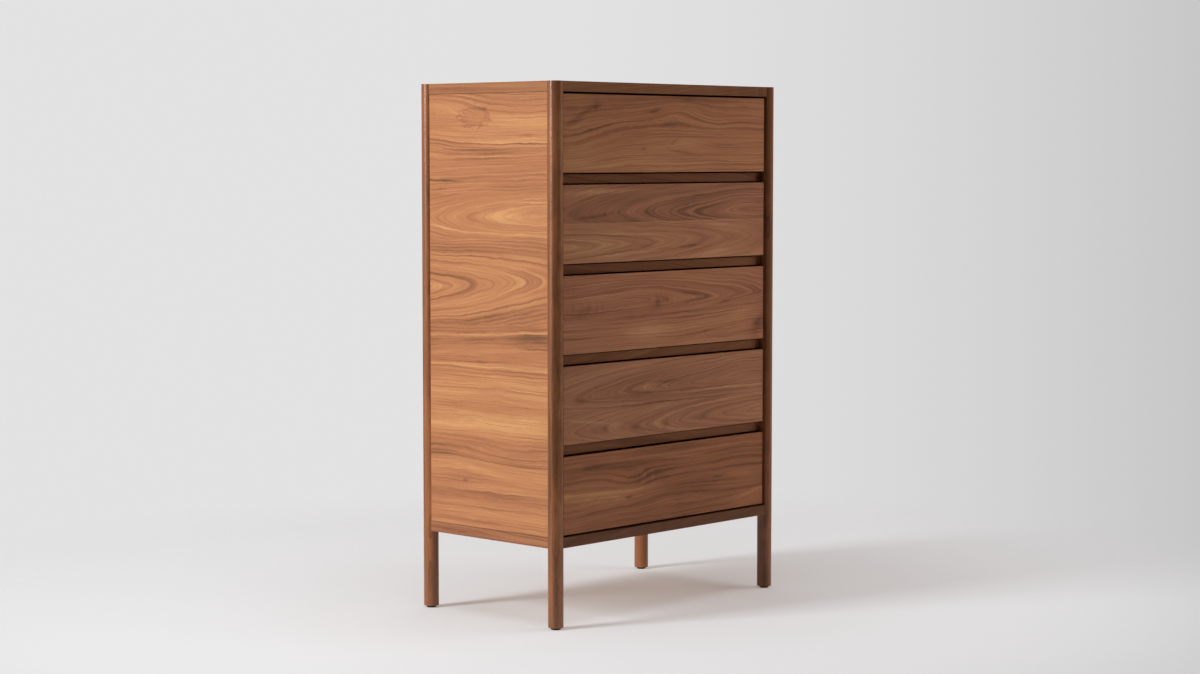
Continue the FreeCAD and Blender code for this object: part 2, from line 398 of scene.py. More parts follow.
walnut = ((0.0, (0.640, 0.315, 0.120)), (0.30, (0.515, 0.218, 0.086)),
          (0.55, (0.425, 0.164, 0.068)), (0.80, (0.310, 0.123, 0.051)),
          (1.0, (0.200, 0.085, 0.036)))

# Fibres and pores: noise scales along, across and into the wood, how broken the fibres are, how
# much both darken the wood and how much rougher they are. The shift keeps pores off the fibres
fibre_scales = (0.035, 1.7, 1.7)
fibre_breaks = 0.6
fibre_darkness = 0.22
fibre_roughness = 0.16
fibre_height = 0.6
pore_scales = (0.11, 1.9, 1.9)
pore_shift = 7.0 / pore_scales[1]
pore_level = 0.62
pore_sharpness = 9.0
pore_darkness = 0.16
pore_roughness = 0.10
grain_strength = 0.35
grain_relief = 0.12 * mm

# Faces that look along the grain are darker. A face counts as looking a way above this share
end_darkness = 0.34
end_edge = 6.0
facing_share = 0.7

# A lip's strip reads its figure from beyond the board's own, stretched across
lip_shift = 300.0
lip_stretch = 2.0
# Painted shade along joints: the half width of its thin dark line in millimetres, and how dark it
# is
joint_shadow_half_width = 2.0
joint_shadow_darkness = 0.70

wood_roughness = 0.50
wood_gloss = 0.15


def wood(name, origin, along, across, inward, figure, stops, roughness=wood_roughness,
         gloss=wood_gloss, joint_shadows=(), lip=None, underside=0.0):
    """Wood for one piece. Each axis is (index, sign): along the grain, across it, into the piece.

    Each joint place, across the grain, gets a thin dark line of painted shade where the joint's
    shadow falls. A board with a lip has a strip of long grain over the ends of its own grain,
    which is paler by lip, and its underside is paler by underside.
    """
    material, tree, shader = new_material(name)
    places, normals = object_coordinates(tree)

    def axis(which):
        index, sign = which
        return (places[index] - origin[index]) * float(sign)

    u, v, w = axis(along), axis(across), axis(inward)
    ends = normals[along[0]].math("ABSOLUTE")
    if lip is not None:
        strip = ends.above(facing_share)
        strip_v = w * lip_stretch + lip_shift
        u, v, w = pick(strip, u, v), pick(strip, v, strip_v), pick(strip, w, u * 0.0)
    fibre = noise((u, v, w), fibre_scales, detail=2.0, roughness=fibre_breaks)
    pores = noise((u, v + pore_shift, w), pore_scales)
    pores = ((pores - pore_level) * pore_sharpness).clamped()
    dark = wood_tone(u, v, w, figure) + (fibre - 0.5) * fibre_darkness + pores * pore_darkness
    # Painted shade: a thin dark line along each joint place, where the joint's shadow falls
    for joint_shadow in joint_shadows:
        away = (v - joint_shadow) * (1.0 / joint_shadow_half_width)
        dark = dark + (away * away).falling() * joint_shadow_darkness
    if lip is None:
        dark = dark + ends ** end_edge * end_darkness
    colour = colour_ramp(dark.clamped(), stops)
    if lip is not None:
        paler = tree.nodes.new("ShaderNodeVectorMath")
        paler.operation = "SCALE"
        tree.links.new(colour, paler.inputs["Vector"])
        beneath = (normals[up] * -1.0).above(facing_share)
        plug(tree, strip * lip + beneath * underside + 1.0, paler.inputs["Scale"])
        colour = paler.outputs[0]
    tree.links.new(colour, shader.inputs["Base Color"])
    rough = (fibre - 0.5) * fibre_roughness + pores * pore_roughness + roughness
    tree.links.new(rough.socket, shader.inputs["Roughness"])
    shader.inputs["Specular IOR Level"].default_value = gloss
    bump(tree, fibre * fibre_height - pores, shader, grain_strength, grain_relief)
    return material


# Random boards: how wide they are, how steeply their pith dives or rises, how deep it starts in
# either case, and its climb. Then their lines, shades and seeds
plank_widths = (90.0, 150.0)
plank_dives = (0.05, 0.14)
diving_depths = (10.0, 60.0)
rising_depths = (60.0, 110.0)
plank_climbs = (-0.03, 0.03)
plank_lines = 4
plank_radii = (15.0, 120.0)
plank_line_widths = (2.0, 5.0)
plank_strengths = (0.15, 0.45)
plank_shades = (-0.06, 0.06)
seed_range = (0.0, 40.0)

# Posts: their lines, and the place of their pith
post_lines = 5
post_radii = (60.0, 110.0)
post_line_widths = (1.5, 3.5)
post_strengths = (0.15, 0.4)
post_piths = (-60.0, -40.0)
post_depths = (50.0, 80.0)
post_climb = 0.012
post_dive = 0.004
post_wobble = 0.25

# Drawer fronts: their lines stay close to their places and are a little stronger
front_sway = 3.0
front_contrast = 1.06


def random_rings(chance, count, radii, widths, strengths):
    """Lines that stand out, each from three draws: radius, width and strength."""
    return [(chance.uniform(*radii), chance.uniform(*widths), chance.uniform(*strengths))
            for _ in range(count)]


def plain_boards(width, seed, shade=0.0):
    """A figure of glued-up boards, each cut from its own place in a log."""
    chance = random.Random(seed)
    boards = []
    low = 0.0
    while low < width:
        high = low + chance.uniform(*plank_widths)
        middle = chance.uniform(low, high)
        dive = chance.choice((-1.0, 1.0)) * chance.uniform(*plank_dives)
        depth = chance.uniform(*(diving_depths if dive > 0.0 else rising_depths))
        rings = random_rings(chance, plank_lines, plank_radii, plank_line_widths, plank_strengths)
        boards.append(Board(low=low, pith=middle, climb=chance.uniform(*plank_climbs), depth=depth,
                            dive=dive, rings=rings, shade=shade + chance.uniform(*plank_shades),
                            seed=chance.uniform(*seed_range)))
        low = high
    return Figure(boards)


def turned_post(seed, shade=0.0, marks=()):
    """A post sawn from one board, with its pith well off to one side."""
    chance = random.Random(seed)
    rings = random_rings(chance, post_lines, post_radii, post_line_widths, post_strengths)
    board = Board(low=0.0, pith=chance.uniform(*post_piths), climb=post_climb,
                  depth=chance.uniform(*post_depths), dive=post_dive, rings=rings, shade=shade,
                  seed=chance.uniform(*seed_range))
    return Figure((board,), marks=marks, wobble=post_wobble)


def front_figure(boards, bends=(), marks=(), ripples=()):
    """A drawer front's figure, with what all the fronts share."""
    return Figure(boards, bends, marks, ripples, sway=front_sway, contrast=front_contrast)


# The left side: dark lines at the top, a light point to the left, a long dark one to the
# right, a dark belt below it and quiet light wood under that
side_figure = Figure(
    boards=(
        Board(low=0.0, shade=0.04, seed=3.0, rings=(
            (216, 2, 0.25), (250, 2.5, 0.4), (283, 7, 0.35), (301, 3, -0.12), (365, 3, 0.6),
            (372, 2, 0.2), (383, 2, 0.35), (397, 2, 0.3), (406, 2, 0.3),
        )),
        Board(low=212.0, shade=-0.07, seed=9.0, rings=(
            (434, 5, -0.15), (452, 3, 0.15), (520, 2.5, 0.4), (548, 2, 0.2), (558, 2, 0.38),
            (566, 4, 0.45), (573, 2.5, -0.5), (584, 2, 0.3),
        )),
        Board(low=398.0, pith=200.0, climb=0.06, shade=0.03, seed=13.0, rings=(
            (204, 3, 0.3), (213, 5, 0.35), (224, 6, 0.42), (231, 2, 0.35), (235, 2.5, -0.55),
            (243, 2, 0.35), (252, 2, 0.3), (261, 2, 0.35), (270, 2, 0.25),
        )),
        Board(low=470.0, pith=549.0, climb=0.056, depth=17.7, dive=0.13, seed=17.0, rings=(
            (27, 2, 0.2), (39, 3, 0.55), (47, 1.5, 0.2), (53, 1.5, 0.2), (64.5, 2.5, 0.48),
            (72, 1.5, 0.25), (80, 2, 0.35), (90, 2, 0.42), (99, 2, 0.35), (106, 2, 0.3),
            (113, 2, 0.35),
        )),
        Board(low=662.0, pith=706.0, climb=0.035, depth=52.2, dive=-0.1339, seed=23.0, above=1.05,
              rings=(
                  (18, 8, -0.18), (25, 2, -0.26), (33, 1.5, 0.15), (42, 2.5, -0.08),
                  (46, 1.5, 0.12), (53, 2, -0.08), (57, 1.5, 0.14), (64, 2, 0.26), (73, 2, 0.25),
                  (80, 2, 0.25),
              )),
        Board(low=764.0, pith=500.0, climb=0.027, seed=27.0, rings=(
            (268, 2, 0.2), (276, 2, 0.25), (287, 2, 0.22), (297, 2.5, 0.42), (300, 1.5, -0.2),
            (308, 2, 0.35), (316, 2, 0.3), (325, 2, 0.38), (332, 2, 0.3), (339, 2, 0.38),
            (344, 2, -0.28), (351, 2, 0.38), (358, 2, 0.42), (365, 2.5, 0.4),
        )),
        Board(low=866.0, pith=600.0, shade=-0.05, seed=31.0, rings=(
            (268, 2, 0.35), (276, 2.5, 0.45), (280, 2, -0.2), (290, 2, 0.15), (349, 2.5, 0.45),
            (362, 2.5, 0.55), (374, 2.5, 0.45), (385, 2, 0.3),
        )),
    ),
    bends=(
        Bend(90, 165, 120, 40, 9), Bend(300, 150, 110, 40, -6), Bend(235, 322, 16, 26, 5),
        Bend(0, 885, 90, 30, 14), Bend(30, 975, 170, 34, 30), Bend(40, 50, 150, 40, -4),
        Bend(0, 855, 60, 14, 4), Bend(200, 168, 320, 24, -12),
    ),
    marks=(
        Mark(330, 925, 120, 18, -0.1), Mark(350, 438, 75, 20, 0.2), Mark(290, 716, 120, 13, -0.26),
        Mark(200, 250, 260, 20, -0.24), Mark(128, 107, 8, 2.5, 0.3),
        Mark(180, 132, 90, 7, -0.2, -0.1), Mark(50, 796, 50, 1.8, 0.85, -0.05),
        Mark(345, 419, 50, 2.0, 0.36), Mark(55, 775, 26, 2.0, 0.35), Mark(330, 893, 26, 3.0, 0.28),
        Mark(90, 282, 40, 3.0, 0.22), Mark(60, 686, 90, 2.4, -0.42, -0.08),
        Mark(290, 673, 170, 2.6, -0.36, -0.03), Mark(350, 748, 70, 2.0, -0.3),
        Mark(120, 858, 110, 9, 0.12), Mark(200, 636, 300, 12, 0.12),
        Mark(200, 446, 400, 40, 0.13, 0.06), Mark(240, 487, 200, 9, 0.16, 0.1),
        Mark(200, 392, 400, 8, 0.14, 0.02), Mark(200, 70, 400, 8, 0.24),
        Mark(200, 12, 400, 16, 0.14), Mark(65, 552, 32, 10, -0.26), Mark(200, 190, 400, 12, 0.1),
        Mark(330, 452, 90, 3.0, 0.16, 0.03), Mark(140, 380, 200, 2.0, 0.25, 0.04),
    ),
    burls=(Mark(163, 940, 50, 24, 0.25),),
)

# The fronts, from the top one down
front_figures = {
    1: front_figure(
        boards=(
            Board(low=0.0, seed=41.0, rings=(
                (206, 2, 0.2), (216, 2, 0.25), (222, 2, -0.2), (241, 2, 0.15), (262, 2, 0.15),
                (281, 2, 0.18), (302, 2.5, 0.32), (308, 2.5, -0.16), (315, 2.5, 0.36),
                (332, 2, 0.2), (350, 3, 0.25), (364, 3, 0.2),
            )),
        ),
        bends=(Bend(385, 140, 95, 30, 24), Bend(0, 60, 145, 62, -37), Bend(430, 66, 70, 13, 9)),
        marks=(
            Mark(300, 127, 24, 5, 0.34), Mark(265, 55, 11, 4.5, 0.3),
            Mark(58, 138, 52, 5, 0.36, 0.25), Mark(108, 152, 9, 9, 0.28),
            Mark(40, 172, 36, 10, -0.16), Mark(430, 58, 60, 10, -0.16),
            Mark(400, 44, 44, 3, 0.3, -0.12), Mark(540, 62, 50, 2.5, 0.3, 0.04),
            Mark(372, 66, 16, 4, 0.24, 0.5), Mark(340, 102, 160, 2.6, 0.24),
            Mark(260, 154, 600, 30, 0.13), Mark(350, 30, 330, 24, -0.08),
            Mark(430, 157, 60, 5, 0.24), Mark(560, 150, 130, 20, 0.08),
            Mark(590, 18, 90, 2.2, 0.34), Mark(150, 38, 60, 3, 0.16), Mark(40, 80, 90, 90, -0.13),
        ),
    ),
    2: front_figure(
        boards=(
            Board(low=0.0, pith=36.0, climb=0.02, depth=10.7, dive=0.0743, shade=-0.08, seed=47.0,
                  rings=(
                      (18, 2.5, 0.4), (21.5, 1.5, -0.08), (27, 1.5, 0.14), (33, 2.5, 0.4),
                      (37, 2, -0.1), (43, 1.5, 0.2), (48, 1.5, 0.22), (54, 2, 0.2),
                  )),
            Board(low=89.0, pith=110.0, depth=89.5, dive=-0.13, shade=0.23, seed=53.0, above=1.1,
                  below=1.35, rings=(
                      (8.6, 1.5, 0.3), (16.7, 2.5, -0.12), (24, 1.5, 0.16), (31, 2.2, 0.34),
                      (35, 1.8, -0.18), (38.6, 2, 0.28), (46.2, 1.5, 0.28), (54.4, 2.5, 0.4),
                      (67.4, 2, 0.36), (84, 1.5, 0.2),
                  )),
        ),
        marks=(
            Mark(110, 158, 150, 7, -0.42, 0.03), Mark(110, 105, 62, 3.5, 0.3, 0.09),
            Mark(290, 108, 26, 8, 0.1), Mark(424, 31, 26, 2.5, 0.26),
            Mark(370, 28, 90, 2.0, 0.26, 0.04), Mark(268, 35, 22, 4, 0.22),
            Mark(60, 33, 50, 10, -0.12), Mark(470, 84, 220, 2.5, 0.2), Mark(600, 40, 110, 16, 0.08),
            Mark(699, 40, 80, 42, 0.14),
        ),
    ),
    3: front_figure(
        boards=(
            Board(low=0.0, shade=-0.04, seed=59.0, rings=(
                (212, 2, 0.2), (233, 2, 0.28), (252, 2, 0.28), (262, 2, 0.2),
            )),
            Board(low=76.0, pith=110.0, depth=-19.0, dive=0.1, shade=0.03, seed=61.0, above=0.9,
                  below=1.7, rings=(
                      (22, 2, -0.12), (30, 2, 0.34), (33.5, 1.5, -0.22), (37, 1.5, 0.24),
                      (43, 2, 0.34), (46, 1.5, -0.2), (50, 2, 0.36), (56, 1.5, 0.3), (62, 1.5, 0.3),
                  )),
        ),
        bends=(Bend(690, 60, 200, 40, 20), Bend(0, 140, 200, 60, -12)),
        marks=(
            Mark(278, 38, 60, 17, -0.26), Mark(625, 56, 52, 10, -0.26, 0.15),
            Mark(680, 22, 30, 14, 0.46, 0.3), Mark(560, 91, 34, 3.5, 0.5, 0.12),
            Mark(380, 75, 240, 2.8, 0.36), Mark(130, 126, 90, 12, -0.18),
            Mark(470, 24, 110, 3.0, 0.3, 0.02), Mark(40, 34, 50, 3, 0.26),
            Mark(325, 103, 34, 16, 0.2), Mark(70, 96, 50, 14, 0.16),
            Mark(425, 124, 55, 3.5, 0.36, -0.13), Mark(440, 102, 40, 3, 0.26, 0.15),
            Mark(430, 113, 40, 5, -0.16), Mark(486, 112, 8, 5, 0.16), Mark(699, 95, 70, 90, 0.14),
        ),
        ripples=(Mark(330, 103, 36, 18, 1.2), Mark(70, 98, 48, 16, 0.9)),
    ),
    4: front_figure(
        boards=(
            Board(low=0.0, pith=24.0, climb=0.01, depth=67.3, dive=-0.09, shade=0.05, seed=67.0,
                  rings=(
                      (9.7, 1.5, 0.25), (17, 1.5, 0.12), (26.3, 2, 0.4), (36.7, 2, 0.3),
                      (41, 2, -0.14), (47, 2, 0.34),
                  )),
            Board(low=72.0, pith=100.0, climb=0.03, depth=73.3, dive=-0.11, shade=0.1, seed=71.0,
                  above=1.3, below=2.0, rings=(
                      (8, 1.5, 0.15), (18, 1.5, 0.14), (28, 1.5, 0.16), (38, 1.5, 0.14),
                      (45, 1.5, -0.22), (48.2, 1.2, 0.5), (57, 1.5, 0.16), (64, 1.5, -0.12),
                      (70, 2.2, 0.36), (76, 1.5, 0.2), (86, 2, 0.36), (92, 1.5, -0.2),
                  )),
        ),
        marks=(
            Mark(345, 121, 52, 3.5, 0.36, 0.02), Mark(52, 93, 24, 8, 0.22),
            Mark(100, 24, 46, 12, 0.2), Mark(138, 25, 10, 6, 0.22), Mark(165, 30, 20, 9, -0.17),
            Mark(236, 22, 13, 6, 0.24), Mark(343, 24, 12, 12, 0.24), Mark(465, 28, 20, 5, 0.16),
            Mark(75, 47, 85, 3, -0.24, -0.13), Mark(300, 74, 190, 2.5, 0.36),
            Mark(520, 86, 200, 2.5, 0.34), Mark(560, 93, 150, 2.0, -0.34),
            Mark(400, 97, 240, 2.0, 0.26), Mark(268, 112, 26, 6, -0.16),
        ),
    ),
    5: front_figure(
        boards=(
            Board(low=0.0, shade=0.12, seed=73.0, rings=(
                (204, 2, 0.2), (212, 2, 0.3), (224, 2, 0.2), (242, 3.5, 0.36), (256, 2, 0.22),
                (268, 2, 0.2),
            )),
            Board(low=89.0, shade=0.16, seed=79.0, rings=(
                (298, 2, 0.25), (308, 2, -0.15), (317, 2.5, 0.42), (329, 2, 0.25), (340, 2, 0.34),
                (346, 1.5, 0.2), (353, 2, -0.22), (360, 2, 0.32), (368, 2, 0.25),
            )),
        ),
        bends=(
            Bend(390, 58, 170, 28, 14), Bend(699, 28, 120, 24, 16), Bend(20, 40, 60, 20, -8),
            Bend(225, 104, 70, 26, -22), Bend(560, 130, 160, 40, 6),
        ),
        marks=(
            Mark(90, 144, 50, 5, 0.3), Mark(130, 86, 180, 4.5, -0.5), Mark(216, 64, 11, 5, 0.46),
            Mark(130, 68, 160, 18, -0.36), Mark(430, 70, 150, 16, 0.28), Mark(536, 78, 20, 4, 0.34),
            Mark(620, 80, 60, 8, -0.12), Mark(170, 160, 80, 4, -0.26),
            Mark(660, 22, 60, 5, -0.24, 0.2), Mark(290, 108, 44, 15, 0.18),
            Mark(400, 142, 140, 3, -0.2, -0.05),
        ),
        ripples=(Mark(290, 106, 46, 18, 1.5),),
    ),
}

# How each piece's walnut differs in red, green and blue, the fronts from the top one down
side_tint = (1.03, 1.07, 1.18)
front_tints = ((1.12, 1.11, 1.31), (1.14, 1.18, 1.52), (1.07, 1.05, 1.34), (1.01, 1.06, 1.36),
               (0.91, 0.87, 0.99))
rail_walnut = scaled(walnut, (0.67, 0.67, 0.74))
post_walnut = scaled(walnut, (0.74, 0.67, 0.64))
post_roughness = 0.27
post_gloss = 0.40

# The sides' figures start at a post's middle line, this far past the panel's edge
side_overlap = 11.5
board_width = 440.0
rail_width = 70.0
board_shade = 0.02
rail_shade = 0.05
back_shade = 0.05

# Each board's colour levels, how much paler its lips and underside are, and its marks. Those
# with v above 300 run along the lips from the front, and those at v 0 along the front edge
board_looks = {
    "top_board": ((0.67, 0.67, 0.74), 0.12, 0.0, (
        Mark(240, 332, 300, 9, 0.26), Mark(330, 322, 90, 5, 0.30), Mark(720, 0, 220, 20, 0.42),
        Mark(180, 0, 260, 20, -0.18),
    )),
    "bottom_board": ((0.40, 0.40, 0.47), 0.95, 1.4, (
        Mark(330, 324, 110, 12, 0.40), Mark(60, 322, 110, 14, -0.24), Mark(200, 342, 300, 4, 0.30),
        Mark(320, 0, 230, 20, 0.30),
    )),
}

# Each post's shade, which darkens its whole wood, and its marks, with v measured from its front
# for the left posts, else from its left. The marks are painted light and shade: a highlight, lit
# and shaded sides, lighter or darker feet, and shade beside the fronts and the side panel. A long
# reach lets a mark run the post's full height, and a wide one go all round it
full_height = 3000
all_round = 500
post_tones_and_painted_light = {
    # Painted highlight high on the left, painted light down the front side, painted shade at
    # mid-height, and on the leg painted light on its left and painted shade on its front
    "front_left_post": (0.37, (
        Mark(600, -0.5, full_height, 4.2, -0.62), Mark(950, 16, 420, 5, -0.40),
        Mark(500, 4, 200, 9, 0.22), Mark(90, 17, 110, 6, -0.20), Mark(90, 1, 120, 7, 0.34),
    )),
    # Painted shade down the flat beside the drawer fronts, in the slit, and at the foot
    "front_right_post": (-0.04, (
        Mark(700, 3, full_height, 2.5, 0.32), Mark(150, 17, 300, all_round, 0.22),
    )),
    # Painted light at the foot, and painted shade high up beside the side panel and on the back
    # edge
    "back_left_post": (0.20, (
        Mark(200, 20, 190, all_round, -0.16), Mark(900, 2, 460, 5, 0.56),
        Mark(950, 33, 420, 5, 0.34),
    )),
    # Painted shade down its right side, away from the light
    "back_right_post": (0.06, (Mark(200, 30, full_height, 8, 0.30),)),
}


def dress(names, material):
    """Give every material slot of some CAD pieces one material."""
    for name in names:
        for slot in nodes[name].material_slots:
            slot.material = material


def box_corner(name, ends):
    """A corner of a CAD piece's box in millimetres, with 0 for low and 1 for high on each axis."""
    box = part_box(name)
    return [box[end][index] / mm for index, end in enumerate(ends)]


def dress_panels():
    low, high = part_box("left_side_panel")
    height = (high[up] - low[up]) / mm
    origin = box_corner("left_side_panel", (0, 1, 0))
    origin[north] += side_overlap
    # Both side panels get a thin line of painted shade along their top and bottom joints
    left = wood("left_side_walnut", origin, (north, -1), (up, 1), (east, 1), side_figure,
                scaled(walnut, side_tint), joint_shadows=(0.0, height))
    dress(["left_side_panel"], left)
    origin = box_corner("right_side_panel", (1, 0, 0))
    origin[north] -= side_overlap
    right = wood("right_side_walnut", origin, (north, 1), (up, 1), (east, -1),
                 plain_boards(height, seed=5), walnut, joint_shadows=(0.0, height))
    dress(["right_side_panel"], right)
    back = wood("back_walnut", box_corner("back_panel", (0, 1, 0)), (east, 1), (up, 1), (north, -1),
                plain_boards(height, seed=8, shade=back_shade), walnut)
    dress(["back_panel"], back)


def dress_boards():
    for place, (name, (levels, lip, underside, marks)) in enumerate(board_looks.items()):
        figure = plain_boards(board_width, seed=11 + place, shade=board_shade)._replace(marks=marks)
        board = wood(name + "_walnut", box_corner(name, (0, 0, 1)), (east, 1), (north, 1), (up, -1),
                     figure, scaled(walnut, levels), lip=lip, underside=underside)
        dress([name], board)


def dress_posts():
    # Each post's wood carries its marks of painted light and shade
    for place, (name, (shade, marks)) in enumerate(post_tones_and_painted_light.items()):
        origin = box_corner(name, (0, 0, 0))
        origin[up] = 0.0
        across, inward = (north, east) if "left" in name else (east, north)
        post = wood(name + "_walnut", origin, (up, 1), (across, 1), (inward, 1),
                    turned_post(seed=21 + place, shade=shade, marks=marks), post_walnut,
                    post_roughness, post_gloss)
        dress([name], post)


def dress_rails():
    for number in rails:
        name = f"finger_gap_rail_{number}"
        figure = plain_boards(rail_width, seed=31 + number, shade=rail_shade)
        rail = wood(name + "_walnut", box_corner(name, (0, 0, 0)), (east, 1), (north, 1), (up, 1),
                    figure, rail_walnut)
        dress([name], rail)


def dress_fronts():
    for number, figure in front_figures.items():
        name = f"drawer_{number}_front"
        front = wood(f"drawer_{number}_walnut", box_corner(name, (0, 0, 0)), (east, 1), (up, 1),
                     (north, 1), figure, scaled(walnut, front_tints[number - 1]))
        dress([name], front)


maple = ((0.0, (0.86, 0.72, 0.54)), (0.5, (0.76, 0.60, 0.42)), (1.0, (0.58, 0.42, 0.27)))
birch = ((0.0, (0.84, 0.70, 0.52)), (0.5, (0.76, 0.60, 0.42)), (1.0, (0.60, 0.44, 0.28)))
poplar = ((0.0, (0.74, 0.66, 0.46)), (0.5, (0.66, 0.57, 0.38)), (1.0, (0.48, 0.40, 0.26)))
beech = ((0.0, (0.72, 0.50, 0.34)), (0.5, (0.64, 0.42, 0.27)), (1.0, (0.48, 0.30, 0.19)))

# The inner woods' figures are laid out once for the whole chest, from the middle of its foot or,
# for the floors, from in front of it
chest_foot = (0.0, 0.0, 0.0)
chest_height = 1200.0
floor_start = (0.0, -250.0, 0.0)
floor_width = 500.0
inner_shade = -0.1


def dress_drawers():
    lengthwise = wood("maple_sides", chest_foot, (north, 1), (up, 1), (east, 1),
                      plain_boards(chest_height, seed=51, shade=inner_shade), maple)
    crosswise = wood("maple_ends", chest_foot, (east, 1), (up, 1), (north, 1),
                     plain_boards(chest_height, seed=52, shade=inner_shade), maple)
    floors = wood("birch_floor", floor_start, (east, 1), (north, 1), (up, 1),
                  plain_boards(floor_width, seed=53, shade=inner_shade), birch)
    for number in drawers:
        dress([f"drawer_{number}_left_side", f"drawer_{number}_right_side"], lengthwise)
        dress([f"drawer_{number}_box_front", f"drawer_{number}_box_back"], crosswise)
        dress([f"drawer_{number}_floor"], floors)
    cleats = wood("poplar_cleat", chest_foot, (north, 1), (up, 1), (east, 1),
                  plain_boards(chest_height, seed=54), poplar)
    dress(["slide_cleats"], cleats)
    dowels = wood("beech_dowel", chest_foot, (up, 1), (east, 1), (north, 1), turned_post(seed=55),
                  beech)
    dress(["case_dowels"], dowels)


zinc_colours = ((0.0, (0.46, 0.47, 0.49)), (1.0, (0.74, 0.75, 0.77)))
zinc_cloud_scales = (0.05, 0.05, 0.05)
zinc_rolling_scales = (0.6, 0.01, 1.5)
zinc_cloud_share = 0.6
zinc_roughness = 0.22
zinc_cloud_roughness = 0.18
zinc_rolling_roughness = 0.08
zinc_strength = 0.1
zinc_relief = 0.05 * mm


def zinc():
    """Bright zinc on rolled steel, with faint rolling lines and a cloudy gloss."""
    material, tree, shader = new_material("zinc_plated_steel")
    places, _ = object_coordinates(tree)
    cloud = noise(places, zinc_cloud_scales, detail=3.0)
    rolling = noise(places, zinc_rolling_scales, detail=2.0)
    shine = cloud * zinc_cloud_share + rolling * (1.0 - zinc_cloud_share)
    tree.links.new(colour_ramp(shine, zinc_colours), shader.inputs["Base Color"])
    shader.inputs["Metallic"].default_value = 1.0
    rough = cloud * zinc_cloud_roughness + rolling * zinc_rolling_roughness + zinc_roughness
    tree.links.new(rough.socket, shader.inputs["Roughness"])
    bump(tree, rolling, shader, zinc_strength, zinc_relief)
    return material


plastic_colours = ((0.0, (0.003, 0.003, 0.003)), (1.0, (0.012, 0.011, 0.010)))
plastic_grain_scales = (1.6, 1.6, 1.6)
plastic_scuff_scales = (0.15, 0.15, 0.15)
plastic_grain_share = 0.4
plastic_roughness = 0.55
plastic_scuff_roughness = 0.2
plastic_gloss = 0.15
plastic_strength = 0.3
plastic_relief = 0.1 * mm


def black_plastic():
    """Matt moulded plastic with a fine grain."""
    material, tree, shader = new_material("black_glide_plastic")
    places, _ = object_coordinates(tree)
    grain = noise(places, plastic_grain_scales, detail=2.0)
    scuff = noise(places, plastic_scuff_scales, detail=1.0)
    tone = grain * plastic_grain_share + scuff * (1.0 - plastic_grain_share)
    tree.links.new(colour_ramp(tone, plastic_colours), shader.inputs["Base Color"])
    rough = scuff * plastic_scuff_roughness + plastic_roughness
    tree.links.new(rough.socket, shader.inputs["Roughness"])
    shader.inputs["Specular IOR Level"].default_value = plastic_gloss
    bump(tree, grain, shader, plastic_strength, plastic_relief)
    return material


def dress_hardware():
    metal = zinc()
    dress(["slide_outer_members"], metal)
    for number in drawers:
        dress([f"slide_inner_members_{number}", f"slide_middle_members_{number}"], metal)
    dress(["floor_glides"], black_plastic())


def seen_by_eye(tree):
    """1 for camera, glossy and transmission rays, which show the backdrop as it is, and else 0."""
    path = tree.nodes.new("ShaderNodeLightPath")
    names = ("Is Camera Ray", "Is Glossy Ray", "Is Transmission Ray")
    camera, glossy, through = (Field(tree, path.outputs[name]) for name in names)
    return camera.math("MAXIMUM", glossy).math("MAXIMUM", through)


def mixed(tree, share, first, second):
    """A shader that goes from the first to the second with the share."""
    node = tree.nodes.new("ShaderNodeMixShader")
    tree.links.new(share.socket, node.inputs[0])
    tree.links.new(first.outputs[0], node.inputs[1])
    tree.links.new(second.outputs[0], node.inputs[2])
    return node


def coloured(tree, kind, colour):
    """A shader node with a plain colour."""
    node = tree.nodes.new(kind)
    node.inputs["Color"].default_value = (*colour, 1.0)
    return node


def make_floor():
    """A pale round floor that keeps the chest's shadow and melts into the backdrop further out."""
    bpy.ops.mesh.primitive_circle_add(vertices=floor_corners, radius=floor_radius, fill_type="NGON")
    floor = bpy.context.object
    floor.name = "floor"
    material = bpy.data.materials.new("floor_paper")
    material.use_nodes = True
    tree = material.node_tree
    tree.nodes.clear()
    (x, y, _), _ = object_coordinates(tree)
    far = (x * x + y * y).math("SQRT") * mm
    fade = ((far - fade_start) * (1.0 / (fade_end - fade_start))).clamped().smoothed()
    geometry = tree.nodes.new("ShaderNodeNewGeometry")
    under = Field(tree, geometry.outputs["Backfacing"])
    eye = seen_by_eye(tree)
    paper = coloured(tree, "ShaderNodeBsdfDiffuse", floor_albedo)
    black = coloured(tree, "ShaderNodeBsdfDiffuse", (0.0, 0.0, 0.0))
    glow = coloured(tree, "ShaderNodeEmission", glow_colour)
    tree.links.new((eye * floor_glow).socket, glow.inputs["Strength"])
    both = tree.nodes.new("ShaderNodeAddShader")
    lit = mixed(tree, eye * (1.0 - floor_share), paper, black)
    tree.links.new(lit.outputs[0], both.inputs[0])
    tree.links.new(glow.outputs[0], both.inputs[1])
    hole = tree.nodes.new("ShaderNodeBsdfTransparent")
    shown = mixed(tree, fade.math("MAXIMUM", under), both, hole)
    output = tree.nodes.new("ShaderNodeOutputMaterial")
    tree.links.new(shown.outputs[0], output.inputs["Surface"])
    floor.data.materials.append(material)


